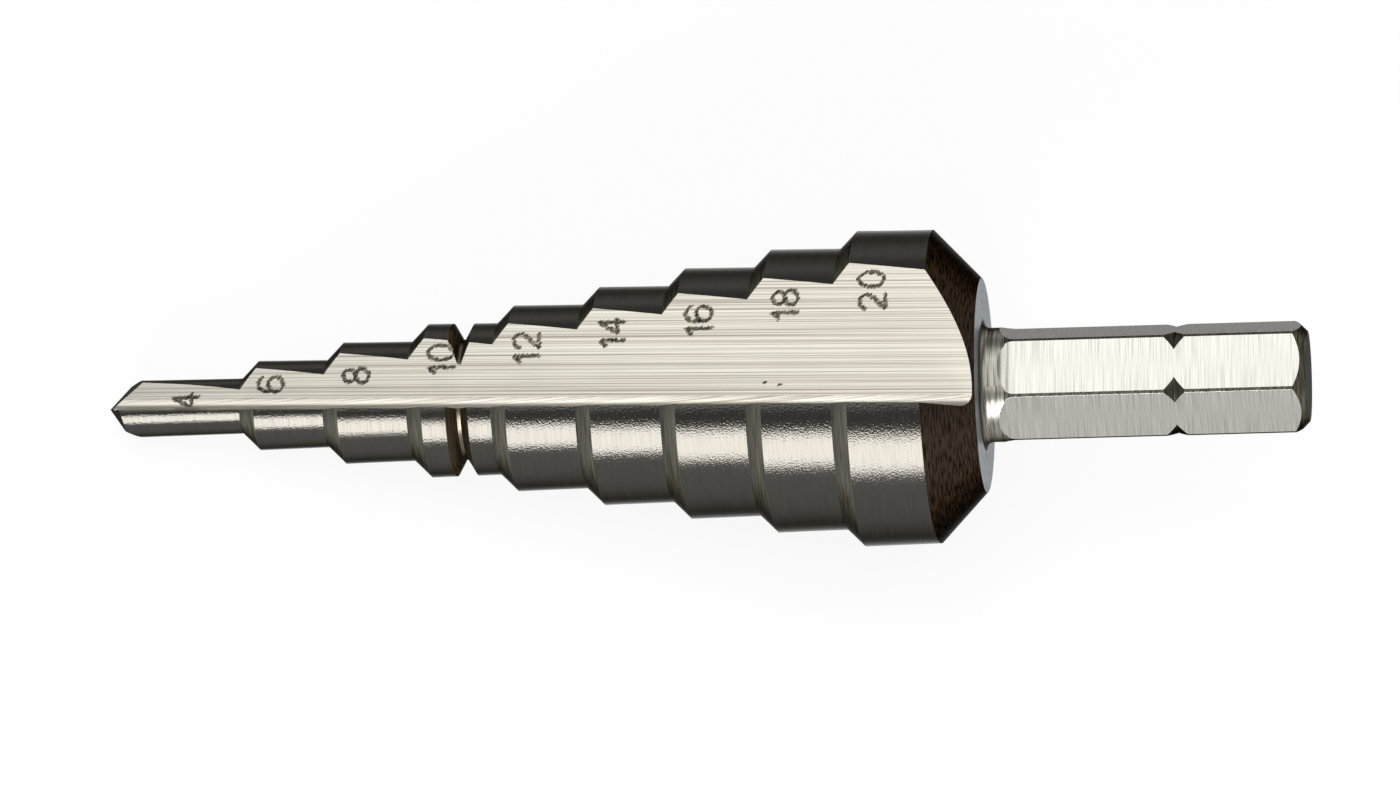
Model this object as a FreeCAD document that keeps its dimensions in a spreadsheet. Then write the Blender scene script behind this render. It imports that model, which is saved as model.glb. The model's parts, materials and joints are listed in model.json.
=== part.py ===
import FreeCAD, Part
import math
import os
import Sketcher

# Step drill for sheet metal: nine cutting diameters on one cone, two straight flutes, and a
# hexagonal shank with a retention notch for a quick-change chuck. It is one piece, ground from
# one bar of high speed steel.
#
# The body is modelled along its own axis. X runs from the point to the end of the shank, and one
# flute is open towards +Z, with its cutting edge near the XZ plane. Half a turn round, the drill
# is the same. At the end it is laid down as it comes to rest, on the edges of one flute with its
# nose down.
#
# Lengths are in millimetres and angles in degrees.

STEPS = 9
GROOVED_STEP = 4
LANDS = 2
HEX_SIDES = 6

SIZES = {
    "smallest_diameter": (4, "first step"),
    "diameter_growth": (2, "each step over the last"),
    "first_corner": (9.5, "point to the corner where the second step reaches its size"),
    "step_pitch": (5.4, "corner to corner of neighbouring steps"),
    "ramp_angle": (45, "ramp between two steps, to the axis"),
    "land_taper": (0.85, "fall of each land towards the shank, so that it doesn't rub"),
    "last_land_length": (4.48, "largest step, from its corner to the back cone"),
    "back_cone_length": (3.12, "largest step to the back face"),
    "back_face_diameter": (13.3, "small end of the back cone"),
    "ring_groove_from_corner": (2.2, "corner of the grooved step to the middle of its groove"),
    "ring_groove_depth": (1, "ring groove"),
    "ring_groove_floor": (0.22, "width of the ring groove's floor"),
    "ring_groove_angle": (60, "between the ring groove's flanks"),
    "relief_shift": (0.105, "axis of each land off the drill's own, in Y and in Z"),
    "land_middle_angle": (68, "cutting edge round to the middle of its land"),
    "core_thickness": (0.68, "metal between the flutes at the point"),
    "flute_rise_angle": (6.73, "flute floor to the axis"),
    "flute_drift_angle": (1.24, "flute corner to the axis, seen square to the floor"),
    "flute_corner_drop": (0.12, "flute corner below the axis at the point"),
    "flute_corner_radius": (0.7, "between the flute's floor and its rake face"),
    "rake_angle": (5, "undercut of the rake face"),
    "point_angle": (135, "between the two lips"),
    "lip_clearance_angle": (24, "fall of the flank behind a lip"),
    "heel_back_angle": (50, "fall of the heel facet away from the lip"),
    "heel_side_angle": (22, "fall of the heel facet towards the flute"),
    "shank_length": (20.1, "back face to the end of the shank"),
    "hex_across_flats": (6.35, "quarter inch shank"),
    "hex_corner_rounding": (0.12, "ground off the hexagon's diameter across its corners"),
    "hex_turn_angle": (19.1, "first flat, from the way the flute faces"),
    "neck_length": (1.5, "back face to the shank"),
    "neck_undercut": (0.06, "round neck below the hexagon's corners"),
    "neck_fillet": (0.5, "neck to back face"),
    "flat_setback": (2.05, "back face to where the flats reach their depth"),
    "flat_runout_radius": (1.4, "end of each flat, towards the neck"),
    "notch_from_end": (8.1, "end of the shank to the middle of the retention notch"),
    "notch_depth": (0.31, "retention notch, below the hexagon's corners"),
    "notch_angle": (128, "between the retention notch's flanks"),
    "end_chamfer": (0.8, "end of the shank, at 45 degrees"),
    "grinding_allowance": (0.4, "left on the turned head, outside the largest step"),
    "tool_overrun": (0.5, "how far a cut runs past the metal"),
}

document = FreeCAD.newDocument("step_drill")
sheet = document.addObject("Spreadsheet::Sheet", "sizes")
for row, (alias, (value, meaning)) in enumerate(SIZES.items(), start=1):
    sheet.set(f"A{row}", meaning)
    sheet.set(f"B{row}", str(value))
    sheet.setAlias(f"B{row}", alias)
document.recompute()

drill = document.addObject("PartDesign::Body", "step_drill")
drill.Label = "step_drill"


def origin_part(role):
    return next(part for part in drill.Origin.OriginFeatures if part.Role == role)


def bind_datum(sketch, constraint, formula):
    number = sketch.addConstraint(constraint)
    sketch.setExpression(f"Constraints[{number}]", formula)


def draw_outline(name, plane, corners, rounded=()):
    """Draw a closed sketch on one of the body's planes.

    A corner is a pair of formulas, its distances along the sketch's two axes. The corners start
    on a circle, and the formulas then put them in place. A rounded corner is a pair: the corner's
    number and the formula of its radius.
    """
    sketch = drill.newObject("Sketcher::SketchObject", name)
    sketch.AttachmentSupport = [(origin_part(plane), "")]
    sketch.MapMode = "FlatFace"
    count = len(corners)
    turns = [2 * math.pi * i / count for i in range(count)]
    starts = [FreeCAD.Vector(math.cos(turn), math.sin(turn), 0) for turn in turns]
    for i in range(count):
        sketch.addGeometry(Part.LineSegment(starts[i], starts[(i + 1) % count]))
    for i in range(count):
        sketch.addConstraint(Sketcher.Constraint("Coincident", i, 2, (i + 1) % count, 1))
    for i, (along, across) in enumerate(corners):
        bind_datum(sketch, Sketcher.Constraint("DistanceX", i, 1, starts[i].x), along)
        bind_datum(sketch, Sketcher.Constraint("DistanceY", i, 1, starts[i].y), across)
    document.recompute()
    for corner, radius in rounded:
        round_corner(sketch, corner, radius)
    return sketch


def round_corner(sketch, corner, radius):
    """Put a tangent arc at a sketch's corner, which stays behind as a point."""
    sketch.fillet(corner, 1, SIZES["tool_overrun"][0], True, True)
    arcs = [i for i, curve in enumerate(sketch.Geometry) if isinstance(curve, Part.ArcOfCircle)]
    bind_datum(sketch, Sketcher.Constraint("Radius", arcs[-1], sketch.Geometry[arcs[-1]].Radius), radius)
    document.recompute()


def tilt_outline(sketch, angle):
    """Turn a sketch about the drill's axis."""
    axis = FreeCAD.Vector(1, 0, 0)
    sketch.AttachmentOffset = FreeCAD.Placement(FreeCAD.Vector(), FreeCAD.Rotation(axis, 1))
    sketch.setExpression(".AttachmentOffset.Rotation.Angle", angle)


def cut_outline(name, sketch, length, direction=None, both_ways=True):
    """Cut a sketch's outline out of the body, straight or along a direction of three formulas."""
    cut = drill.newObject("PartDesign::Pocket", name)
    cut.Profile = sketch
    cut.Type = "Length"
    cut.SideType = "Symmetric" if both_ways else "One side"
    cut.setExpression("Length", length)
    if direction:
        cut.UseCustomVector = True
        cut.AlongSketchNormal = True
        for axis, formula in zip("xyz", direction):
            cut.setExpression(f"Direction.{axis}", formula)
    return cut


def repeat_round(name, cut, count):
    """Repeat a cut evenly about the drill's axis."""
    pattern = drill.newObject("PartDesign::PolarPattern", name)
    pattern.Originals = [cut]
    pattern.Axis = (origin_part("X_Axis"), [""])
    pattern.Angle = 360
    pattern.Occurrences = count
    drill.Tip = pattern
    document.recompute()


def corner_place(step):
    """Where a step reaches its full size. The first step is measured from the point."""
    if step == 1:
        return "0"
    return f"(sizes.first_corner + {step - 2} * sizes.step_pitch)"


def step_radius(step):
    return f"((sizes.smallest_diameter + {step - 1} * sizes.diameter_growth) / 2)"


def land_radius(step, place):
    """Radius of a step's tapered land at a place along the axis."""
    return f"({step_radius(step)} - tan(sizes.land_taper) * ({place} - {corner_place(step)}))"


# Where the pieces of the drill begin and end, as formulas that its outlines share.
BACK_CONE_START = f"({corner_place(STEPS)} + sizes.last_land_length)"
BACK_FACE = f"({BACK_CONE_START} + sizes.back_cone_length)"
SHANK_END = f"({BACK_FACE} + sizes.shank_length)"
BLANK_RADIUS = f"({step_radius(STEPS)} + sizes.grinding_allowance)"
OUTSIDE = f"(2 * {BLANK_RADIUS})"
FLAT_HEIGHT = "(sizes.hex_across_flats / 2)"
SHANK_RADIUS = f"({FLAT_HEIGHT} / cos(180 / {HEX_SIDES}) - sizes.hex_corner_rounding / 2)"

# The turned blank: an oversize head with its back cone, the neck, and the shank with its notch
# and end chamfer.
back_radius = "(sizes.back_face_diameter / 2)"
cone_radius = land_radius(STEPS, BACK_CONE_START)
cone_run = f"(sizes.back_cone_length / ({cone_radius} - {back_radius}))"
neck_radius = f"({SHANK_RADIUS} - sizes.neck_undercut)"
neck_end = f"({BACK_FACE} + sizes.neck_length)"
notch_middle = f"({SHANK_END} - sizes.notch_from_end)"
notch_half_width = "(sizes.notch_depth * tan(sizes.notch_angle / 2))"
blank_outline = draw_outline("blank_outline", "XY_Plane", [
    ("0", "0"),
    ("0", BLANK_RADIUS),
    (f"{BACK_CONE_START} - ({BLANK_RADIUS} - {cone_radius}) * {cone_run}", BLANK_RADIUS),
    (BACK_FACE, back_radius),
    (BACK_FACE, neck_radius),
    (neck_end, neck_radius),
    (f"{neck_end} + sizes.neck_undercut", SHANK_RADIUS),
    (f"{notch_middle} - {notch_half_width}", SHANK_RADIUS),
    (notch_middle, f"{SHANK_RADIUS} - sizes.notch_depth"),
    (f"{notch_middle} + {notch_half_width}", SHANK_RADIUS),
    (f"{SHANK_END} - sizes.end_chamfer", SHANK_RADIUS),
    (SHANK_END, f"{SHANK_RADIUS} - sizes.end_chamfer"),
    (SHANK_END, "0"),
], rounded=[(4, "sizes.neck_fillet")])
blank = drill.newObject("PartDesign::Revolution", "turned_blank")
blank.Profile = blank_outline
blank.ReferenceAxis = (blank_outline, ["H_Axis"])
blank.Angle = 360
document.recompute()

# The flutes. A wheel with a flat face and a rounded corner is fed from the point towards the
# shank along a rising line, so the core grows thicker and the flute runs out in the back cone.
corner_across = "(-sizes.flute_corner_drop)"
floor_height = "(sizes.core_thickness / 2)"
rake_lean = f"(({OUTSIDE} - {floor_height}) * tan(sizes.rake_angle))"
flute_outline = draw_outline("flute_outline", "YZ_Plane", [
    (corner_across, floor_height),
    (OUTSIDE, floor_height),
    (OUTSIDE, OUTSIDE),
    (f"{corner_across} + {rake_lean}", OUTSIDE),
], rounded=[(0, "sizes.flute_corner_radius")])
feed = ("1", "-tan(sizes.flute_drift_angle)", "tan(sizes.flute_rise_angle)")
flute = cut_outline("flute", flute_outline, SHANK_END, feed, both_ways=False)
repeat_round("flutes", flute, LANDS)


def ring_groove(step):
    """Corners of the V groove that is ground into one land."""
    middle = f"({corner_place(step)} + sizes.ring_groove_from_corner)"
    half_floor = "(sizes.ring_groove_floor / 2)"
    half_mouth = f"({half_floor} + sizes.ring_groove_depth * tan(sizes.ring_groove_angle / 2))"
    floor = f"({land_radius(step, middle)} - sizes.ring_groove_depth)"
    near_lip = f"({middle} - {half_mouth})"
    far_lip = f"({middle} + {half_mouth})"
    return [
        (near_lip, land_radius(step, near_lip)),
        (f"{middle} - {half_floor}", floor),
        (f"{middle} + {half_floor}", floor),
        (far_lip, land_radius(step, far_lip)),
    ]


def stepped_edge():
    """Corners of the steps, ramps and ring groove, from the point to past the head.

    A ramp ends at its step's corner, and starts where its line meets the tapered land before it.
    """
    fall = "tan(sizes.land_taper)"
    ramp = f"((sizes.diameter_growth / 2 + {fall} * sizes.step_pitch) / (tan(sizes.ramp_angle) + {fall}))"
    corners = [("-sizes.tool_overrun", step_radius(1)), ("0", step_radius(1))]
    for step in range(2, STEPS + 1):
        foot = f"({corner_place(step)} - {ramp})"
        corners.append((foot, f"({step_radius(step)} - {ramp} * tan(sizes.ramp_angle))"))
        corners.append((corner_place(step), step_radius(step)))
        if step == GROOVED_STEP:
            corners += ring_groove(step)
    corners.append((past_head, land_radius(STEPS, past_head)))
    return corners


# The lands. Each is ground to the stepped edge about an axis of its own, which lies off the
# drill's axis towards the cutting edge, so the land falls away behind that edge. The back cone
# stays as it was turned.
past_head = f"({BACK_FACE} + sizes.tool_overrun)"
ground_away = stepped_edge() + [(past_head, OUTSIDE), ("-sizes.tool_overrun", OUTSIDE)]
from_land_axis = [(along, f"{radius} - sizes.relief_shift") for along, radius in ground_away]
land_outline = draw_outline("land_outline", "XY_Plane", from_land_axis)
tilt_outline(land_outline, "90 + sizes.land_middle_angle")
land_outline.setExpression(".AttachmentOffset.Base.y", "sizes.relief_shift")
land_outline.setExpression(".AttachmentOffset.Base.z", "sizes.relief_shift")
land = drill.newObject("PartDesign::Groove", "land")
land.Profile = land_outline
land.ReferenceAxis = (land_outline, ["H_Axis"])
land.Angle = 360 / LANDS
land.Midplane = True
repeat_round("lands", land, LANDS)

# The point. The flank behind each lip is one facet. A second facet grinds the heel away behind
# it and opens the core, so that the lips reach the middle.
past_land = f"({step_radius(1)} + sizes.tool_overrun)"
lip_outline = draw_outline("lip_outline", "XZ_Plane", [
    ("0", "0"),
    (f"{past_land} / tan(sizes.point_angle / 2)", past_land),
    (f"-{OUTSIDE}", past_land),
    (f"-{OUTSIDE}", "0"),
])
lip_fall = ("tan(sizes.lip_clearance_angle)", "-1", "0")
lip_facet = cut_outline("lip_facet", lip_outline, OUTSIDE, lip_fall)
repeat_round("lip_facets", lip_facet, LANDS)
heel_outline = draw_outline("heel_outline", "XY_Plane", [
    ("0", "0"),
    (f"{past_land} * tan(sizes.heel_back_angle)", past_land),
    (f"-{OUTSIDE}", past_land),
    (f"-{OUTSIDE}", "0"),
])
heel_fall = ("tan(sizes.heel_side_angle)", "0", "1")
heel_facet = cut_outline("heel_facet", heel_outline, OUTSIDE, heel_fall)
repeat_round("heel_facets", heel_facet, LANDS)

# The hexagon. Each flat is milled from the end of the shank, and the cutter leaves its radius
# where it stops at the neck.
flat_stop = f"({BACK_FACE} + sizes.flat_setback - sizes.flat_runout_radius)"
past_shank = f"({SHANK_END} + sizes.tool_overrun)"
above_shank = f"({FLAT_HEIGHT} + sizes.flat_runout_radius + sizes.tool_overrun)"
flat_outline = draw_outline("flat_outline", "XY_Plane", [
    (flat_stop, FLAT_HEIGHT),
    (past_shank, FLAT_HEIGHT),
    (past_shank, above_shank),
    (flat_stop, above_shank),
], rounded=[(0, "sizes.flat_runout_radius")])
tilt_outline(flat_outline, "90 - sizes.hex_turn_angle")
flat = cut_outline("flat", flat_outline, f"2 * {above_shank}")
repeat_round("flats", flat, HEX_SIDES)


def tip_over(points, pivot, down, towards):
    """Turn the downward direction about a pivot until the next point touches the ground."""
    ahead = [point for point in points
             if (point - pivot).dot(towards) > Part.Precision.confusion()]
    angles = [math.atan2((pivot - point).dot(down), (point - pivot).dot(towards)) for point in ahead]
    angle = min(angles)
    turned = down * math.cos(angle) + towards * math.sin(angle)
    return turned.normalize(), ahead[angles.index(angle)]


def resting_direction(shape, down):
    """Which way is down once the shape has tipped from one contact to two, and then to three."""
    points = [vertex.Point for vertex in shape.Vertexes]
    centre = shape.CenterOfGravity
    first = max(points, key=lambda point: point.dot(down))
    arm = centre - first
    towards = (arm - down * arm.dot(down)).normalize()
    down, second = tip_over(points, first, down, towards)
    towards = down.cross(second - first).normalize()
    if towards.dot(centre - first) < 0:
        towards = -towards
    return tip_over(points, first, down, towards)[0]


# Laid down with one flute below: its axis along X, and the middle of its box at the origin.
up = -resting_direction(drill.Shape, FreeCAD.Vector(0, 0, -1))
side = up.cross(FreeCAD.Vector(1, 0, 0)).normalize()
laid = FreeCAD.Rotation(side.cross(up), side, up, "ZXY").inverted()
drill.Placement = FreeCAD.Placement(FreeCAD.Vector(), laid)
box = drill.Shape.optimalBoundingBox(False, False)
drill.Placement = FreeCAD.Placement(FreeCAD.Vector(-box.Center.x, -box.Center.y, -box.ZMin), laid)
document.recompute()

for part in document.Objects:
    if "Invalid" in part.State or "Error" in part.State:
        raise RuntimeError(f"{part.Label} could not be made")
if drill.Shape.isNull() or not drill.Shape.isValid():
    raise RuntimeError(f"{drill.Label} has no sound shape")
if len(drill.Shape.Solids) != 1:
    raise RuntimeError(f"{drill.Label} isn't one piece")

os.makedirs("parts", exist_ok=True)
drill.Shape.exportStep(f"parts/{drill.Label}.step")
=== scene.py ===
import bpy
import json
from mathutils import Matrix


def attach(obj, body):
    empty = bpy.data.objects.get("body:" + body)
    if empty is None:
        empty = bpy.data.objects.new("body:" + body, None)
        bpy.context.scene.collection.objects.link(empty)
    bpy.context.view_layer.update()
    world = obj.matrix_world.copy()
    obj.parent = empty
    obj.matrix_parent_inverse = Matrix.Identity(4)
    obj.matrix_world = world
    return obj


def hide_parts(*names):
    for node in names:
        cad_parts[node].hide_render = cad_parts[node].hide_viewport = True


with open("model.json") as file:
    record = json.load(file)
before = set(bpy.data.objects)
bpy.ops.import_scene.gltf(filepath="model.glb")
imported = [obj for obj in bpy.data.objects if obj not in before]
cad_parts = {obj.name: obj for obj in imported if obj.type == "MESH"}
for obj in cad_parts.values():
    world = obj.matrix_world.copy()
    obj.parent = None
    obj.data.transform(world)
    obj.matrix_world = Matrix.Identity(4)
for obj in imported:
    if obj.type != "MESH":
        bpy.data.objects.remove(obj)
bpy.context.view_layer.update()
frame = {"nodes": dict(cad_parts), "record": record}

import json
import math

import bmesh
import bpy
import numpy as np
from mathutils import Matrix, Vector


# The step drill. One piece of high speed steel: a cone of nine steps, 4 to 20 mm in diameter,
# with two straight flutes and a hexagonal shank. It is turned and milled, hardened, and ground
# where it cuts, so each face has the fine lines of its own tool. Its sizes are in millimetres.

MM = 0.001

STEPS = 9
SMALLEST_DIAMETER = 4
DIAMETER_GROWTH = 2
FIRST_CORNER = 9.5
STEP_PITCH = 5.4
RAMP_ANGLE = math.radians(45)
LAND_TAPER = math.radians(0.85)
LAST_LAND_LENGTH = 4.48
BACK_CONE_LENGTH = 3.12
BACK_FACE_DIAMETER = 13.3
LAND_MIDDLE = math.radians(158)
RELIEF_SHIFT = 0.105
GROOVED_STEP = 4
RING_GROOVE_FROM_CORNER = 2.2
RING_GROOVE_DEPTH = 1
RING_GROOVE_FLOOR = 0.22
RING_GROOVE_ANGLE = math.radians(60)
CORE_THICKNESS = 0.68
FLUTE_RISE = math.radians(6.73)
FLUTE_DRIFT = math.radians(1.24)
FLUTE_CORNER_DROP = 0.12
FLUTE_CORNER_RADIUS = 0.7
RAKE = math.radians(5)
POINT_ANGLE = math.radians(135)
LIP_CLEARANCE = math.radians(24)
HEEL_BACK = math.radians(50)
HEEL_SIDE = math.radians(22)
SHANK_LENGTH = 20.1
SHANK_SIDES = 6
ACROSS_FLATS = 6.35
HEX_CORNER_ROUNDING = 0.12
HEX_TURN = math.radians(19.1)
NECK_LENGTH = 1.5
NECK_UNDERCUT = 0.06
NECK_FILLET = 0.5
FLAT_SETBACK = 2.05
FLAT_RUNOUT = 1.4
NOTCH_FROM_END = 8.1
NOTCH_DEPTH = 0.31
NOTCH_ANGLE = math.radians(128)
END_CHAMFER = 0.8

LAST_CORNER = FIRST_CORNER + (STEPS - 2) * STEP_PITCH
BACK_CONE_START = LAST_CORNER + LAST_LAND_LENGTH
BACK_FACE = BACK_CONE_START + BACK_CONE_LENGTH
SHANK_END = BACK_FACE + SHANK_LENGTH
NECK_END = BACK_FACE + NECK_LENGTH
NOTCH_MIDDLE = SHANK_END - NOTCH_FROM_END
SIDE_TURN = math.radians(360 / SHANK_SIDES)
SHANK_RADIUS = ACROSS_FLATS / 2 / math.cos(SIDE_TURN / 2) - HEX_CORNER_ROUNDING / 2
NECK_RADIUS = SHANK_RADIUS - NECK_UNDERCUT

# Where the drill lies. Its own X runs from the point to the shank, and one flute faces its Z.
mounts = {mount["name"]: mount for mount in frame["record"]["mounts"]}
along = Vector(mounts["shank_end"]["axis"]).normalized()
flat_side = Vector(mounts["shank_flat_left"]["axis"]).normalized()
flat_turn = HEX_TURN + SIDE_TURN
facing = math.cos(flat_turn) * flat_side + math.sin(flat_turn) * along.cross(flat_side)
sideways = facing.cross(along)
point_of_drill = Vector(mounts["shank_end"]["pos_m"]) - SHANK_END * MM * along
lie = Matrix((along, sideways, facing)).transposed().to_4x4()
lie.translation = point_of_drill
from_drill = lie @ Matrix.Scale(MM, 4)
to_drill = from_drill.inverted()


# Each ground face is a function. It takes the corners of triangles, in the drill's own
# millimetres, and gives their distance from the face, the face's normal there, and where they
# are along and across its grinding lines.

def unit(vector):
    """Vectors in the same directions, of length 1."""
    vector = np.array(vector, float)
    return vector / np.linalg.norm(vector, axis=-1, keepdims=True)


def angle_round(off):
    """Angles of corners that lie off an axis. Within a triangle they never jump a whole turn."""
    angle = np.arctan2(off[..., 0], -off[..., 1])
    first = angle[:, :1]
    return first + (angle - first + math.pi) % (2 * math.pi) - math.pi


def flat_face(through, normal, lines):
    """A flat face through a point, with its lines in one direction."""
    normal = unit(normal)
    lines = unit(lines)
    across = np.cross(normal, lines)

    def at(corners):
        away = (corners - np.array(through)) @ normal
        return away, np.broadcast_to(normal, corners.shape), corners @ lines, corners @ across
    return at


def turned_face(place, radius, slope, centre=(0, 0)):
    """A cone about an axis along X, with lines that run round it. Its radius grows by slope."""
    lean = math.hypot(1, slope)

    def at(corners):
        off = corners[..., 1:] - np.array(centre)
        out = np.linalg.norm(off, axis=-1)
        away = (out - radius - slope * (corners[..., 0] - place)) / lean
        normal = np.dstack((np.full(out.shape, -slope), off / out[..., None])) / lean
        return away, normal, angle_round(off) * radius, corners[..., 0] * lean
    return at


def disc_face(place, radius):
    """A face square to the axis that looks to the shank, with lines that run round it."""
    def at(corners):
        off = corners[..., 1:]
        normal = np.broadcast_to(np.array((1.0, 0, 0)), corners.shape)
        return (corners[..., 0] - place, normal, angle_round(off) * radius,
                np.linalg.norm(off, axis=-1))
    return at


def hollow_ring(place, radius, hollow):
    """A rounded inside corner that runs round the axis."""
    def at(corners):
        off = corners[..., 1:]
        out = np.linalg.norm(off, axis=-1)
        from_middle = np.stack((corners[..., 0] - place, out - radius), -1)
        far = np.linalg.norm(from_middle, axis=-1)
        inwards = -from_middle / far[..., None]
        normal = np.concatenate((inwards[..., :1], inwards[..., 1:] * off / out[..., None]), -1)
        return hollow - far, normal, angle_round(off) * radius, corners[..., 0] - out
    return at


def hollow_groove(middle, feed, hollow):
    """A rounded inside corner that is drawn along a straight feed. Its circle is square to X."""
    feed = np.array(feed, float)

    def at(corners):
        from_middle = (corners - corners[..., :1] * feed)[..., 1:] - np.array(middle)
        far = np.linalg.norm(from_middle, axis=-1)
        inwards = -from_middle / far[..., None]
        normal = unit(np.concatenate((-(inwards @ feed[1:])[..., None], inwards), -1))
        return hollow - far, normal, corners[..., 0], corners[..., 1] - corners[..., 2]
    return at


def hollow_runout(place, height, turn, hollow):
    """The rounded end that a cutter leaves on a flat of the shank."""
    out_of_flat = np.array((0, math.sin(turn), math.cos(turn)))
    across_flat = np.array((0, math.cos(turn), -math.sin(turn)))

    def at(corners):
        up = corners @ out_of_flat
        from_middle = np.stack((corners[..., 0] - place, up - height), -1)
        far = np.linalg.norm(from_middle, axis=-1)
        inwards = -from_middle / far[..., None]
        normal = inwards[..., :1] * np.array((1.0, 0, 0)) + inwards[..., 1:] * out_of_flat
        return hollow - far, normal, corners @ across_flat, corners[..., 0] - up
    return at


def corner_place(step):
    """Where a step's land starts along the drill."""
    return 0 if step == 1 else FIRST_CORNER + (step - 2) * STEP_PITCH


def step_radius(step):
    """Radius of a step about its land's own axis."""
    return (SMALLEST_DIAMETER + (step - 1) * DIAMETER_GROWTH) / 2 - RELIEF_SHIFT


def land_radius(step, place):
    """Radius of a step's land about its own axis, at a place along the drill."""
    return step_radius(step) - math.tan(LAND_TAPER) * (place - corner_place(step))


def land_faces():
    """Faces that are ground round one land's own axis, by their finish."""
    centre = (RELIEF_SHIFT, RELIEF_SHIFT)
    for step in range(1, STEPS + 1):
        corner = corner_place(step)
        yield "land", turned_face(corner, step_radius(step), -math.tan(LAND_TAPER), centre)
        if step > 1:
            yield "ramp", turned_face(corner, step_radius(step), math.tan(RAMP_ANGLE), centre)
    middle = corner_place(GROOVED_STEP) + RING_GROOVE_FROM_CORNER
    floor = land_radius(GROOVED_STEP, middle) - RING_GROOVE_DEPTH
    steepness = 1 / math.tan(RING_GROOVE_ANGLE / 2)
    yield "ring groove", turned_face(middle - RING_GROOVE_FLOOR / 2, floor, -steepness, centre)
    yield "ring groove floor", turned_face(middle, floor, 0, centre)
    yield "ring groove", turned_face(middle + RING_GROOVE_FLOOR / 2, floor, steepness, centre)


def flute_faces():
    """Faces of one flute and of the point in front of it, by their finish."""
    feed = (1, -math.tan(FLUTE_DRIFT), math.tan(FLUTE_RISE))
    corner = (0, -FLUTE_CORNER_DROP, CORE_THICKNESS / 2)
    lean = math.tan(RAKE)
    middle = (corner[1] + FLUTE_CORNER_RADIUS * (lean + math.hypot(1, lean)),
              corner[2] + FLUTE_CORNER_RADIUS)
    yield "flute floor", flat_face(corner, np.cross(feed, (0, 1, 0)), feed)
    yield "flute floor", flat_face(corner, np.cross((0, lean, 1), feed), feed)
    yield "flute floor", hollow_groove(middle, feed, FLUTE_CORNER_RADIUS)
    lip = (1 / math.tan(POINT_ANGLE / 2), 0, 1)
    yield "point", flat_face((0, 0, 0), np.cross((math.tan(LIP_CLEARANCE), -1, 0), lip), lip)
    heel = (math.tan(HEEL_BACK), 1, 0)
    yield "point", flat_face((0, 0, 0), np.cross((math.tan(HEEL_SIDE), 0, 1), heel), heel)


def shank_faces():
    """Faces behind the steps, by their finish."""
    cone_start = land_radius(STEPS, BACK_CONE_START) + RELIEF_SHIFT
    cone_slope = (BACK_FACE_DIAMETER / 2 - cone_start) / BACK_CONE_LENGTH
    yield "back cone", turned_face(BACK_CONE_START, cone_start, cone_slope)
    yield "back face", disc_face(BACK_FACE, BACK_FACE_DIAMETER / 2)
    yield "neck", hollow_ring(BACK_FACE + NECK_FILLET, NECK_RADIUS + NECK_FILLET, NECK_FILLET)
    yield "neck", turned_face(NECK_END, NECK_RADIUS, 0)
    yield "neck", turned_face(NECK_END, NECK_RADIUS, 1)
    yield "shank corner", turned_face(SHANK_END, SHANK_RADIUS, 0)
    notch_slope = 1 / math.tan(NOTCH_ANGLE / 2)
    yield "notch", turned_face(NOTCH_MIDDLE, SHANK_RADIUS - NOTCH_DEPTH, -notch_slope)
    yield "notch", turned_face(NOTCH_MIDDLE, SHANK_RADIUS - NOTCH_DEPTH, notch_slope)
    yield "end chamfer", turned_face(SHANK_END - END_CHAMFER, SHANK_RADIUS, -1)
    yield "end chamfer", flat_face((SHANK_END, 0, 0), (1, 0, 0), (0, 1, 0))
    runout_place = BACK_FACE + FLAT_SETBACK
    runout_height = ACROSS_FLATS / 2 + FLAT_RUNOUT
    for side in range(SHANK_SIDES):
        turn = HEX_TURN + side * SIDE_TURN
        normal = (0, math.sin(turn), math.cos(turn))
        across = (0, math.cos(turn), -math.sin(turn))
        yield "shank flat", flat_face(np.array(normal) * ACROSS_FLATS / 2, normal, across)
        yield "shank flat", hollow_runout(runout_place, runout_height, turn, FLAT_RUNOUT)


SEAM_MARGIN = 0.01
BARRED = 9


def match_faces(triangles, normals):
    """For each triangle: its best face's finish, normals at its corners, and place in the lines.

    A face fits best where it lies nearest and looks the same way. The lands on each side are
    matched with their own axis only, and nothing in front of the back cone with the shank.
    """
    half_turn = np.array((1, -1, -1))
    land_middle = np.array((0, math.cos(LAND_MIDDLE), math.sin(LAND_MIDDLE)))
    middles = triangles.mean(1)
    in_land = middles @ land_middle > 0
    behind_steps = middles[:, 0] > BACK_CONE_START - SEAM_MARGIN
    candidates = [(1, name, at, in_land) for name, at in land_faces()]
    candidates += [(-1, name, at, ~in_land) for name, at in land_faces()]
    candidates += [(turn, name, at, True) for turn in (1, -1) for name, at in flute_faces()]
    candidates += [(1, name, at, behind_steps) for name, at in shank_faces()]
    best = np.full(len(triangles), np.inf)
    finish = np.full(len(triangles), "", dtype=object)
    face_number = np.full(len(triangles), -1)
    smooth = np.zeros(triangles.shape)
    lines = np.zeros(triangles.shape[:2] + (2,))
    for number, (turn, name, at, allowed) in enumerate(candidates):
        turned = half_turn if turn < 0 else 1
        away, normal, along_lines, across_lines = at(triangles * turned)
        normal = normal * turned
        misfit = np.abs(away).max(1) + 1 - (unit(normal.mean(1)) * normals).sum(1)
        misfit = misfit + np.where(allowed, 0, BARRED)
        better = misfit < best
        best[better] = misfit[better]
        finish[better] = name
        face_number[better] = number
        smooth[better] = normal[better]
        lines[better] = np.stack((along_lines, across_lines), -1)[better]
    return finish, face_number, smooth, lines


# The solid's own triangles are loose, so a copy is merged before its faces are matched. The
# least area keeps a triangle that has none from a division by zero.
MERGE_DISTANCE = 0.0001
LEAST_AREA = 1e-12

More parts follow.
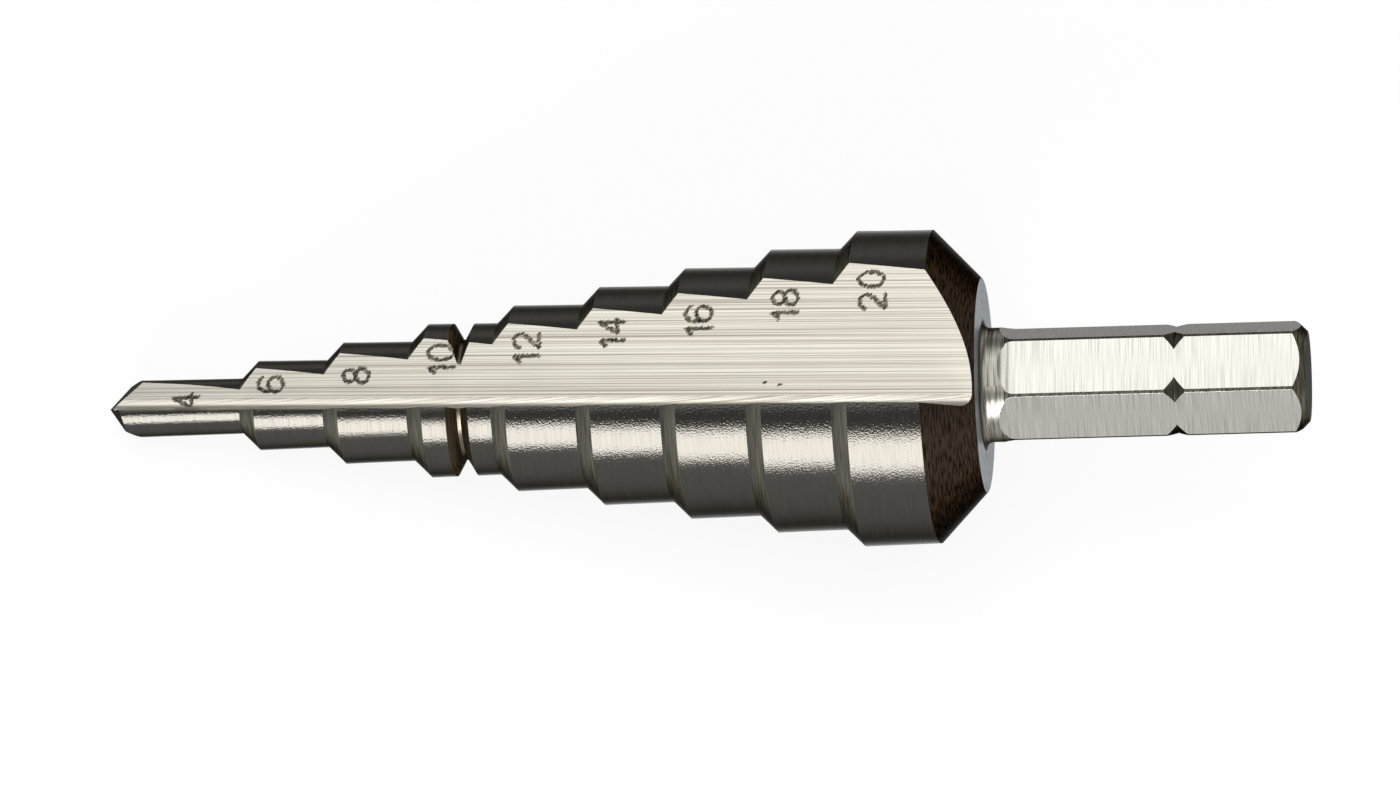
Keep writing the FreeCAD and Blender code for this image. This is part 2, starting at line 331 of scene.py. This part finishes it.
shell = bmesh.new()
shell.from_mesh(frame["nodes"]["step_drill"].data)
bmesh.ops.remove_doubles(shell, verts=shell.verts, dist=MERGE_DISTANCE * MM)
bmesh.ops.dissolve_degenerate(shell, edges=shell.edges, dist=MERGE_DISTANCE * MM)
bmesh.ops.triangulate(shell, faces=shell.faces)
drill_mesh = bpy.data.meshes.new("step_drill_ground")
shell.to_mesh(drill_mesh)
shell.free()

places = np.zeros(len(drill_mesh.vertices) * 3)
drill_mesh.vertices.foreach_get("co", places)
places = places.reshape(-1, 3) @ np.array(to_drill.to_3x3()).T + np.array(to_drill.translation)
corner_points = np.zeros(len(drill_mesh.loops), int)
drill_mesh.loops.foreach_get("vertex_index", corner_points)
triangles = places[corner_points].reshape(-1, 3, 3)
normals = unit(np.cross(triangles[:, 1] - triangles[:, 0], triangles[:, 2] - triangles[:, 0])
               + LEAST_AREA)
finish, face_number, smooth, lines = match_faces(triangles, normals)

drill = bpy.data.objects.new("ground_drill", drill_mesh)
bpy.context.scene.collection.objects.link(drill)


def add(tree, kind, sockets=None, **settings):
    """Add a node with its settings, and give its sockets their values or links."""
    node = tree.nodes.new(kind)
    for name, value in settings.items():
        setattr(node, name, value)
    for name, value in (sockets or {}).items():
        if isinstance(value, bpy.types.NodeSocket):
            tree.links.new(value, node.inputs[name])
        else:
            node.inputs[name].default_value = value
    return node


def colour(hex_value):
    """An sRGB hex value as a linear colour."""
    parts = [int(hex_value[i:i + 2], 16) / 255 for i in (1, 3, 5)]
    return [part / 12.92 if part <= 0.04045 else ((part + 0.055) / 1.055) ** 2.4
            for part in parts] + [1]


# Real grinding lines are about 0.02 mm wide, and the steel's grain is finer still. Both are too
# fine to show, so the lines are drawn 0.04 to 0.12 mm wide, the grain in spots of 0.13 mm, and
# broad bands of tone at twice the lines' length and five times their width.
MICROMETRE = MM / 1000
GRAIN_SIZE = 0.13
BAND_LENGTH = 2
BAND_WIDTH = 5
BAND_SHARE = 0.18
TONE_RANGE = (0.42, 0.7)
NOISE_ROUGHNESS = 0.6
EDGE_ROUNDING = 0.03
ACROSS_LINES = 0.25


def ground_steel(name, light, dark, roughness, stretch, edge_tint, lines, grain_depth):
    """Steel with fine lines along its grinding, and grain. Grazing light has the edge tint.

    Stretch spreads a highlight across the lines. Lines are their length and width in
    millimetres, and their depth in micrometres. The grain's depth is in micrometres too.
    """
    length, width, depth = lines
    material = bpy.data.materials.new(name)
    material.use_nodes = True
    tree = material.node_tree
    tree.nodes.clear()
    place = add(tree, "ShaderNodeUVMap", uv_map="grinding").outputs["UV"]
    noises = []
    for along_lines, across_lines, detail in ((length, width, 2.0),
                                              (length * BAND_LENGTH, width * BAND_WIDTH, 2.0),
                                              (GRAIN_SIZE, GRAIN_SIZE, 1.0)):
        stretched = add(tree, "ShaderNodeVectorMath",
                        {0: place, 1: (1 / along_lines, 1 / across_lines, 1)},
                        operation="MULTIPLY")
        noise = add(tree, "ShaderNodeTexNoise",
                    {"Vector": stretched.outputs[0], "Scale": 1.0, "Detail": detail,
                     "Roughness": NOISE_ROUGHNESS}, noise_dimensions="2D")
        noises.append(noise.outputs[0])
    fine, broad, grain = noises
    both = add(tree, "ShaderNodeMath", {0: broad, 1: BAND_SHARE, 2: fine},
               operation="MULTIPLY_ADD")
    share = add(tree, "ShaderNodeMapRange",
                {"Value": both.outputs[0], "From Min": TONE_RANGE[0], "From Max": TONE_RANGE[1]})
    tone = add(tree, "ShaderNodeMix",
               {"Factor": share.outputs[0], "A": colour(dark), "B": colour(light)},
               data_type="RGBA")
    edge = add(tree, "ShaderNodeBevel", {"Radius": EDGE_ROUNDING * MM}, samples=4)
    scratched = add(tree, "ShaderNodeBump",
                    {"Strength": 1.0, "Distance": depth * MICROMETRE, "Height": fine,
                     "Normal": edge.outputs[0]})
    grained = add(tree, "ShaderNodeBump",
                  {"Strength": 1.0, "Distance": grain_depth * MICROMETRE, "Height": grain,
                   "Normal": scratched.outputs[0]})
    tangent = add(tree, "ShaderNodeTangent", direction_type="UV_MAP", uv_map="grinding")
    shine = add(tree, "ShaderNodeBsdfPrincipled",
                {"Base Color": tone.outputs[2], "Metallic": 1.0, "Roughness": roughness,
                 "Anisotropic": stretch, "Anisotropic Rotation": ACROSS_LINES,
                 "Tangent": tangent.outputs[0], "Specular Tint": colour(edge_tint),
                 "Normal": grained.outputs[0]})
    add(tree, "ShaderNodeOutputMaterial", {"Surface": shine.outputs[0]})
    return material


# What ground_steel takes for each finish.
FINISHES = {
    # A wheel runs along the flute. Its long straight lines give a pale satin sheen.
    "flute floor": ("flute_wheel_ground_steel", "#bab6ad", "#827d72", 0.3, 0.5, "#ffffff",
                    (60, 0.06, 0.15), 0.12),
    # A fine wheel runs round each land and leaves nearly a mirror, with one bright band. Its dark
    # colour is painted shade: far darker than ground steel, so that the white table shows dark in
    # it.
    # Its grain is drawn far deeper than it is, so that the band's edges break up as real ones do.
    "land": ("land_ground_steel_painted_shade", "#4b4945", "#464440", 0.14, 0.2, "#a0a0a0",
             (3, 0.09, 0.05), 9),
    # The bevelled corner of the same wheel grinds the ramps: rings, duller than the lands.
    "ramp": ("ramp_ground_steel", "#7d7b72", "#5c5a52", 0.32, 0.3, "#404040",
             (3, 0.11, 0.4), 0.3),
    # A narrow wheel cuts the ring groove, and its heat leaves dull walls with a brown tint.
    "ring groove": ("groove_ground_steel", "#7b6f5d", "#50473a", 0.38, 0.3, "#404040",
                    (2, 0.12, 0.4), 0.3),
    # The rim of that wheel grinds the groove's floor: a little smoother, and greyer.
    "ring groove floor": ("groove_floor_steel", "#6c675c", "#4e4a40", 0.3, 0.3, "#404040",
                          (2, 0.12, 0.3), 0.2),
    # Turned and then hardened, but never ground: a brown-black skin over coarse rings.
    "back cone": ("back_cone_turned_steel", "#483d33", "#1d1814", 0.36, 0.2, "#787878",
                  (1.2, 0.1, 1.0), 0.5),
    # Turned flat: a pale, cool grey with rings.
    "back face": ("back_face_turned_steel", "#ccd4d8", "#a8b1b5", 0.34, 0.3, "#a0a0a0",
                  (3, 0.12, 0.4), 0.3),
    # Turned with a round-nosed tool: a soft warm grey with rings.
    "neck": ("neck_turned_steel", "#9a978f", "#5c5952", 0.32, 0.3, "#303030",
             (3, 0.1, 0.3), 0.2),
    # What the flats leave of the turned bar: narrow, mottled and dull.
    "shank corner": ("shank_corner_turned_steel", "#6a685f", "#3c3a33", 0.3, 0.3, "#202020",
                     (0.4, 0.1, 0.4), 0.4),
    # Turned with a V-shaped tool: dark and dull.
    "notch": ("notch_turned_steel", "#57544b", "#37342c", 0.32, 0.3, "#202020",
              (2, 0.12, 0.4), 0.4),
    # Turned, and cut off square: dull, with straight lines over the end.
    "end chamfer": ("end_turned_steel", "#6a665c", "#403c33", 0.34, 0.3, "#404040",
                    (2, 0.12, 0.4), 0.4),
    # Milled across the shank with fine lines: the smoothest after the lands, and the brightest.
    "shank flat": ("shank_flat_milled_steel", "#b8b6af", "#9a9891", 0.22, 0.5, "#a8a8a8",
                   (4, 0.04, 0.2), 0.1),
    # Ground behind each lip and heel in small facets: a middle grey.
    "point": ("point_ground_steel", "#8f8d85", "#65635a", 0.3, 0.3, "#404040",
              (1.5, 0.1, 0.3), 0.3),
}
for values in FINISHES.values():
    drill_mesh.materials.append(ground_steel(*values))
finish_names = list(FINISHES)
drill_mesh.polygons.foreach_set("material_index", [finish_names.index(name) for name in finish])
drill_mesh.polygons.foreach_set("use_smooth", [True] * len(drill_mesh.polygons))
grinding = drill_mesh.uv_layers.new(name="grinding")
grinding.data.foreach_set("uv", lines.reshape(-1))

# An edge is sharp where two faces meet, and each corner has its own face's normal.
edge_faces = {}
for polygon in drill_mesh.polygons:
    for key in polygon.edge_keys:
        edge_faces.setdefault(key, []).append(face_number[polygon.index])
for edge in drill_mesh.edges:
    edge.use_edge_sharp = len(set(edge_faces[tuple(sorted(edge.vertices))])) > 1
turned_normals = unit(smooth.reshape(-1, 3) @ np.array(lie.to_3x3()).T)
drill_mesh.normals_split_custom_set([tuple(normal) for normal in turned_normals])
drill_mesh.update()
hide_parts("step_drill")
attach(drill, "root")


# The size numbers, 4 to 20, marked on the flute's floor beside the step that each one names. They
# stand across the drill, with their tops towards the point. A beam darkened the steel in rows of
# short dashes and left no depth, so each dash is a thin closed leaf, level with the floor.

FIGURE_HEIGHT = 1.62
FIGURE_WIDTH = 0.9
FIGURE_GAP = 0.46
FIRST_NUMBER_PLACE = 4.97
NUMBER_PITCH = 5.465
NUMBER_MARGINS = (0.9, 0.81, 1.19, 0.69, 0.9, 0.86, 1.05, 1.0, 0.79)
PITS = ((41.85, 0.52), (42.74, 0.43))
PIT_LENGTH = 0.06
DASH_SIZE = (0.25, 0.09, 0.03)
DASH_ABOVE_FLOOR = 0.012
DASH_SPACING = 0.036
DASH_WANDER = 0.08
DASH_LEAN = math.radians(35)
DASH_LEAN_SPREAD = math.radians(18)
DASH_SEED = 4
BEAM_HEIGHT = 1
BEAM_PAST_FLOOR = 0.02
MOTTLE_SIZE = 0.2
MOTTLE_RANGE = (0.35, 0.65)
BOW_PIECES = 24


def bow(across, up, half_width, half_height, start, end):
    """Points along part of an ellipse, between two angles in degrees."""
    turns = [math.radians(start + (end - start) * i / BOW_PIECES) for i in range(BOW_PIECES + 1)]
    return [(across + half_width * math.cos(turn), up + half_height * math.sin(turn))
            for turn in turns]


# The strokes of each figure: across and up, as shares of its width and height.
FIGURES = {
    "0": [bow(0.5, 0.5, 0.5, 0.5, 0, 360)],
    "1": [[(0, 0.76), (0.42, 1), (0.42, 0)]],
    "2": [bow(0.5, 0.7, 0.48, 0.3, 170, -30) + [(0, 0), (1, 0)]],
    "4": [[(0.72, 0), (0.72, 1), (0, 0.3), (1, 0.3)]],
    "6": [bow(0.5, 0.3, 0.5, 0.3, 0, 360), [(0, 0.3)] + bow(0.5, 0.64, 0.5, 0.36, 180, 25)],
    "8": [bow(0.5, 0.75, 0.42, 0.25, 0, 360), bow(0.5, 0.25, 0.5, 0.25, 0, 360)],
}

# The beam starts above the floor. Each stroke is laid out there: along the flute, and across.
stroke_points, stroke_edges = [], []
for count, margin in enumerate(NUMBER_MARGINS):
    place = FIRST_NUMBER_PLACE + count * NUMBER_PITCH
    floor_height = CORE_THICKNESS / 2 + place * math.tan(FLUTE_RISE)
    diameter = SMALLEST_DIAMETER + count * DIAMETER_GROWTH
    right_side = math.sqrt(diameter ** 2 / 4 - floor_height ** 2) - margin
    for figure in reversed(str(diameter)):
        width = FIGURE_WIDTH * max(across for stroke in FIGURES[figure] for across, up in stroke)
        for stroke in FIGURES[figure]:
            first = len(stroke_points)
            for across, up in stroke:
                stroke_points.append((place / math.cos(FLUTE_RISE) + (0.5 - up) * FIGURE_HEIGHT,
                                      right_side - width + across * FIGURE_WIDTH, BEAM_HEIGHT))
            stroke_edges += [(i, i + 1) for i in range(first, len(stroke_points) - 1)]
        right_side -= width + FIGURE_GAP

# Two small pits lie on the floor, between the last two numbers and the lands.
for place, across in PITS:
    along_floor = place / math.cos(FLUTE_RISE)
    stroke_edges.append((len(stroke_points), len(stroke_points) + 1))
    stroke_points += [(along_floor, across, BEAM_HEIGHT),
                      (along_floor + PIT_LENGTH, across, BEAM_HEIGHT)]


def dash_tree():
    """A node tree that sets short dashes along strokes, where a beam from them meets the steel.

    A dash is left out where the beam would have to reach too far, as over the ring groove.
    """
    tree = bpy.data.node_groups.new("beam_dashes", "GeometryNodeTree")
    tree.interface.new_socket(name="Geometry", in_out="OUTPUT",
                              socket_type="NodeSocketGeometry")
    for name, kind in (("Strokes", "Geometry"), ("Steel", "Object"), ("Reach", "Float"),
                       ("Spacing", "Float"), ("Dash size", "Vector"), ("Dash middle", "Vector"),
                       ("Wander", "Vector"), ("Lean", "Vector"), ("Lean spread", "Float"),
                       ("Seed", "Int"), ("Material", "Material")):
        tree.interface.new_socket(name=name, in_out="INPUT", socket_type="NodeSocket" + kind)
    given = add(tree, "NodeGroupInput").outputs
    strokes = add(tree, "GeometryNodeMeshToCurve", {"Mesh": given["Strokes"]})
    rows = add(tree, "GeometryNodeResampleCurve",
               {"Curve": strokes.outputs[0], "Length": given["Spacing"]}, mode="LENGTH")
    any_way = add(tree, "FunctionNodeRandomValue",
                  {"Min": (-1, -1, -1), "Max": (1, 1, 1), "Seed": given["Seed"]},
                  data_type="FLOAT_VECTOR")
    shift = add(tree, "ShaderNodeVectorMath", {0: any_way.outputs[0], 1: given["Wander"]},
                operation="MULTIPLY")
    scattered = add(tree, "GeometryNodeSetPosition",
                    {"Geometry": rows.outputs[0], "Offset": shift.outputs[0]})
    steel = add(tree, "GeometryNodeObjectInfo", {"Object": given["Steel"]})
    beam = add(tree, "GeometryNodeRaycast",
               {"Target Geometry": steel.outputs["Geometry"], "Ray Length": given["Reach"]})
    missed = add(tree, "FunctionNodeBooleanMath", {0: beam.outputs["Is Hit"]}, operation="NOT")
    kept = add(tree, "GeometryNodeDeleteGeometry",
               {"Geometry": scattered.outputs[0], "Selection": missed.outputs[0]},
               domain="POINT")
    either_way = add(tree, "FunctionNodeRandomValue", {2: -1.0, 3: 1.0, "Seed": given["Seed"]},
                     data_type="FLOAT")
    turn = add(tree, "ShaderNodeMath", {0: either_way.outputs[1], 1: given["Lean spread"]},
               operation="MULTIPLY")
    leaning = add(tree, "FunctionNodeAxesToRotation",
                  {"Primary Axis": beam.outputs["Hit Normal"], "Secondary Axis": given["Lean"]},
                  primary_axis="Z", secondary_axis="X")
    spread = add(tree, "FunctionNodeAxisAngleToRotation",
                 {"Axis": (0, 0, 1), "Angle": turn.outputs[0]})
    turned = add(tree, "FunctionNodeRotateRotation",
                 {"Rotation": leaning.outputs[0], "Rotate By": spread.outputs[0]},
                 rotation_space="LOCAL")
    leaf = add(tree, "GeometryNodeMeshCube", {"Size": given["Dash size"]})
    dash = add(tree, "GeometryNodeTransform",
               {"Geometry": leaf.outputs[0], "Translation": given["Dash middle"]})
    dashes = add(tree, "GeometryNodeInstanceOnPoints",
                 {"Points": kept.outputs[0], "Instance": dash.outputs[0],
                  "Rotation": turned.outputs[0]})
    seated = add(tree, "GeometryNodeSetPosition",
                 {"Geometry": dashes.outputs[0], "Position": beam.outputs["Hit Position"]})
    real = add(tree, "GeometryNodeRealizeInstances", {"Geometry": seated.outputs[0]})
    dressed = add(tree, "GeometryNodeSetMaterial",
                  {"Geometry": real.outputs[0], "Material": given["Material"]})
    add(tree, "NodeGroupOutput", {"Geometry": dressed.outputs[0]})
    return tree


# Steel that a beam has darkened: a dull brown-grey skin of oxide, mottled as the beam's strength
# and the dashes' overlap vary.
marking = bpy.data.materials.new("beam_darkened_steel")
marking.use_nodes = True
tree = marking.node_tree
tree.nodes.clear()
place = add(tree, "ShaderNodeTexCoord").outputs["Object"]
mottle = add(tree, "ShaderNodeTexNoise",
             {"Vector": place, "Scale": 1 / (MOTTLE_SIZE * MM), "Detail": 2.0})
share = add(tree, "ShaderNodeMapRange",
            {"Value": mottle.outputs[0], "From Min": MOTTLE_RANGE[0],
             "From Max": MOTTLE_RANGE[1]})
tone = add(tree, "ShaderNodeMix",
           {"Factor": share.outputs[0], "A": colour("#4a4537"), "B": colour("#8c8674")},
           data_type="RGBA")
dull = add(tree, "ShaderNodeBsdfPrincipled",
           {"Base Color": tone.outputs[2], "Metallic": 0.0, "Roughness": 0.6})
add(tree, "ShaderNodeOutputMaterial", {"Surface": dull.outputs[0]})

# On the floor, X runs along the flute, Y across it and Z out of it, in millimetres.
from_floor = (from_drill @ Matrix.Translation((0, 0, CORE_THICKNESS / 2))
              @ Matrix.Rotation(-FLUTE_RISE, 4, "Y"))
steel_mesh = drill_mesh.copy()
steel_mesh.transform(from_floor.inverted())
steel_under_beam = bpy.data.objects.new("steel_under_beam", steel_mesh)
stroke_mesh = bpy.data.meshes.new("number_strokes")
stroke_mesh.from_pydata(stroke_points, stroke_edges, [])
carrier = bpy.data.objects.new("number_strokes", stroke_mesh)
for helper in (steel_under_beam, carrier):
    bpy.context.scene.collection.objects.link(helper)
beam = carrier.modifiers.new("beam", "NODES")
beam.node_group = dash_tree()
beam_sizes = {
    "Steel": steel_under_beam,
    "Reach": BEAM_HEIGHT + BEAM_PAST_FLOOR,
    "Spacing": DASH_SPACING,
    "Dash size": DASH_SIZE,
    "Dash middle": (0, 0, DASH_ABOVE_FLOOR - DASH_SIZE[2] / 2),
    "Wander": (DASH_WANDER, DASH_WANDER, 0),
    "Lean": (math.cos(DASH_LEAN), math.sin(DASH_LEAN), 0),
    "Lean spread": DASH_LEAN_SPREAD,
    "Seed": DASH_SEED,
    "Material": marking,
}
for socket in beam.node_group.interface.items_tree:
    if socket.name in beam_sizes:
        beam[socket.identifier] = beam_sizes[socket.name]
evaluated = carrier.evaluated_get(bpy.context.evaluated_depsgraph_get())
number_mesh = bpy.data.meshes.new_from_object(evaluated)
number_mesh.name = "size_numbers"
carrier.modifiers.remove(beam)
for helper in (steel_under_beam, carrier):
    bpy.data.objects.remove(helper)
number_mesh.transform(from_floor)
numbers = bpy.data.objects.new("size_numbers", number_mesh)
bpy.context.scene.collection.objects.link(numbers)
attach(numbers, "root")


# The picture. A long lens looks down on the flute, with the drill's point to the left. Places and
# heights on the drill are in millimetres, and the camera's own distances in metres.

PICTURE_WIDTH = 1400
VIEW_LEAN = math.radians(6.9)
VIEW_ROLL = math.radians(1.6)
MIDDLE_PLACE = 37.14
AXIS_ABOVE_MIDDLE = 0.67
CAMERA_DISTANCE = 0.68
PIXELS_PER_MM = 16.1
SENSOR_WIDTH = 36
NEAREST_SEEN = 0.05
FARTHEST_SEEN = 30

towards_camera = math.sin(VIEW_LEAN) * along + math.cos(VIEW_LEAN) * facing
flat_along = math.cos(VIEW_LEAN) * along - math.sin(VIEW_LEAN) * facing
right = math.cos(VIEW_ROLL) * flat_along - math.sin(VIEW_ROLL) * sideways
upwards = towards_camera.cross(right)
middle = point_of_drill + MIDDLE_PLACE * MM * along - AXIS_ABOVE_MIDDLE * MM * upwards
lens = bpy.data.cameras.new("long_lens")
lens.sensor_width = SENSOR_WIDTH
lens.lens = SENSOR_WIDTH / PICTURE_WIDTH * PIXELS_PER_MM * CAMERA_DISTANCE / MM
lens.clip_start = NEAREST_SEEN
lens.clip_end = FARTHEST_SEEN
camera = bpy.data.objects.new("camera", lens)
camera.matrix_world = Matrix((right, upwards, towards_camera)).transposed().to_4x4()
camera.location = middle + CAMERA_DISTANCE * towards_camera
bpy.context.scene.collection.objects.link(camera)
bpy.context.scene.camera = camera


# The table and the light, with sizes in metres. A round table of white card turns up at its rim.
# Soft boxes stand low in front and overhead, and two dim ones at the rear and the shank's side.

FLOOR_SIDES = 96
FLOOR_HUB = 0.001
FLOOR_RADIUS = 6
RIM_WIDTH = 0.4
RIM_HEIGHT = 0.5
FLOOR_WHITE = 0.88
ROOM_LIGHT = 0.1
ROOM_SEEN = 0.4

floor_shape = bmesh.new()
rings = []
for radius, height in ((FLOOR_HUB, 0), (FLOOR_RADIUS, 0), (FLOOR_RADIUS + RIM_WIDTH, RIM_HEIGHT)):
    ring = bmesh.ops.create_circle(floor_shape, segments=FLOOR_SIDES, radius=radius,
                                   matrix=Matrix.Translation((0, 0, height)))["verts"]
    rings.append(ring)
floor_shape.faces.new(rings[0])
for inner, outer in zip(rings, rings[1:]):
    for i in range(FLOOR_SIDES):
        after = (i + 1) % FLOOR_SIDES
        floor_shape.faces.new((inner[i], outer[i], outer[after], inner[after]))
bmesh.ops.recalc_face_normals(floor_shape, faces=floor_shape.faces)
floor_mesh = bpy.data.meshes.new("table")
floor_shape.to_mesh(floor_mesh)
floor_shape.free()
table = bpy.data.objects.new("table", floor_mesh)
bpy.context.scene.collection.objects.link(table)

# Matt white card. The eye and metal see it mostly as plain white, and the rest of it keeps the
# drill's shadow.
white = bpy.data.materials.new("white_table")
white.use_nodes = True
tree = white.node_tree
tree.nodes.clear()
ray = add(tree, "ShaderNodeLightPath")
seen = add(tree, "ShaderNodeMath",
           {0: ray.outputs["Is Camera Ray"], 1: ray.outputs["Is Glossy Ray"]},
           operation="MAXIMUM")
seen = add(tree, "ShaderNodeMath",
           {0: seen.outputs[0], 1: ray.outputs["Is Transmission Ray"]}, operation="MAXIMUM")
matt = add(tree, "ShaderNodeBsdfDiffuse", {"Color": colour("#f4f4f4")})
glow = add(tree, "ShaderNodeEmission", {"Color": colour("#ffffff"), "Strength": 1.0})
blend = add(tree, "ShaderNodeMixShader",
            {0: FLOOR_WHITE, 1: matt.outputs[0], 2: glow.outputs[0]})
shown = add(tree, "ShaderNodeMixShader",
            {0: seen.outputs[0], 1: matt.outputs[0], 2: blend.outputs[0]})
add(tree, "ShaderNodeOutputMaterial", {"Surface": shown.outputs[0]})
floor_mesh.materials.append(white)


def soft_box(name, elevation, azimuth, distance, width, height, power):
    """A soft box that points at the drill. Azimuth 0 is in front, and 90 at the shank's side.

    Its angles are in degrees, and its power in watts.
    """
    lamp = bpy.data.lights.new(name, "AREA")
    lamp.shape = "RECTANGLE"
    lamp.size = width
    lamp.size_y = height
    lamp.energy = power
    holder = bpy.data.objects.new(name, lamp)
    azimuth, elevation = math.radians(azimuth), math.radians(elevation)
    away = Vector((math.sin(azimuth) * math.cos(elevation),
                   -math.cos(azimuth) * math.cos(elevation), math.sin(elevation)))
    holder.location = away * distance
    holder.rotation_mode = "QUATERNION"
    holder.rotation_quaternion = away.to_track_quat("Z", "Y")
    holder.visible_camera = False
    bpy.context.scene.collection.objects.link(holder)


# The front box makes the lands' bright band, and the top box lights the flute's floor. The rear
# box shows in the flute's rounded corner, and the shank box in the ends of the shank's flats.
soft_box("front_box", elevation=14.5, azimuth=-7, distance=0.6, width=0.38, height=0.3, power=4.5)
soft_box("top_box", elevation=76, azimuth=-75, distance=0.605, width=0.8, height=0.6, power=2.85)
soft_box("rear_box", elevation=50, azimuth=200, distance=0.6, width=0.5, height=0.27, power=0.7)
soft_box("shank_box", elevation=58, azimuth=90, distance=0.6, width=0.5, height=0.3, power=0.75)

# A pale grey room stands behind the table. It adds little light, but the eye and metal see it
# brighter than that.
world = bpy.data.worlds.new("pale_room")
bpy.context.scene.world = world
world.use_nodes = True
tree = world.node_tree
tree.nodes.clear()
ray = add(tree, "ShaderNodeLightPath")
seen = add(tree, "ShaderNodeMath",
           {0: ray.outputs["Is Camera Ray"], 1: ray.outputs["Is Glossy Ray"]},
           operation="MAXIMUM")
seen = add(tree, "ShaderNodeMath",
           {0: seen.outputs[0], 1: ray.outputs["Is Transmission Ray"]}, operation="MAXIMUM")
level = add(tree, "ShaderNodeMapRange",
            {"Value": seen.outputs[0], "To Min": ROOM_LIGHT, "To Max": ROOM_SEEN})
room = add(tree, "ShaderNodeBackground",
           {"Color": colour("#ffffff"), "Strength": level.outputs[0]})
add(tree, "ShaderNodeOutputWorld", {"Surface": room.outputs[0]})

bpy.context.scene.view_settings.view_transform = "Standard"
